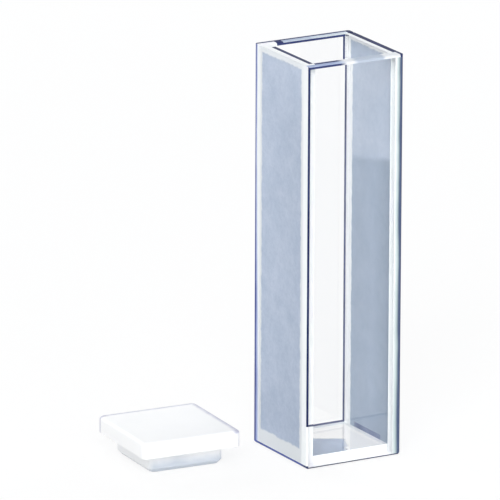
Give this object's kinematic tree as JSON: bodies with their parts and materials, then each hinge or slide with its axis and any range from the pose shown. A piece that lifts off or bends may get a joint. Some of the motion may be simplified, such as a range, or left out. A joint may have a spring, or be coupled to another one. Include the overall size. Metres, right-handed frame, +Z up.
{
  "type": "cuvette",
  "caption": "Square glass cuvette with clear front and rear windows, ground side walls and an open top, with its loose square cap lying beside it.",
  "frame": {"origin": "middle of the cell's footprint, on the surface it stands on", "axes": "+Z up along the cell's height, X across the clear windows from side wall to side wall, Y along the light path with the front window towards -Y; the cap lies towards -X"},
  "size_m": [0.0307, 0.0184, 0.048],
  "materials": {
    "clear_glass": "polished clear",
    "ground_glass": "ground, milky",
    "cap_plastic": "smooth waxy white fluoropolymer"
  },
  "bodies": {
    "root": {"front_window": "clear_glass", "rear_window": "clear_glass", "left_wall": "ground_glass", "right_wall": "ground_glass", "base_plate": "clear_glass", "cap": "cap_plastic"}
  },
  "joints": []
}
